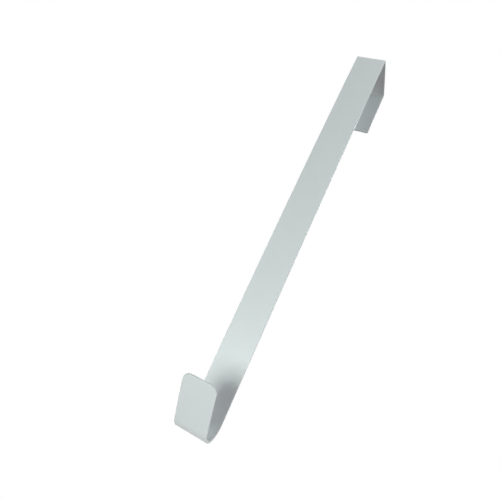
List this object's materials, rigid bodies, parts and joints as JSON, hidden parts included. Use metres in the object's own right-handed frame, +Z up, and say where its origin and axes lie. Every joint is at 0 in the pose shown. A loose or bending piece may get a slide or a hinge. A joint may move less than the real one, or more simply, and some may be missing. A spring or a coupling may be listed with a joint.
{
  "type": "over door hook",
  "caption": "Long hook folded from one flat strip, hung over the top of a door: back tab, top plate, long leg and an open hook with a rounded tip.",
  "frame": {"origin": "middle of the seat, the underside of the top plate, which rests on the door's top edge", "axes": "+X across the strip, +Y from the leg to the back tab, towards the far side of the door, +Z up"},
  "size_m": [0.026, 0.0906, 0.3475],
  "materials": {
    "coated_steel": "satin powder coat"
  },
  "bodies": {
    "root": {"hook_strip": "coated_steel"}
  },
  "joints": []
}
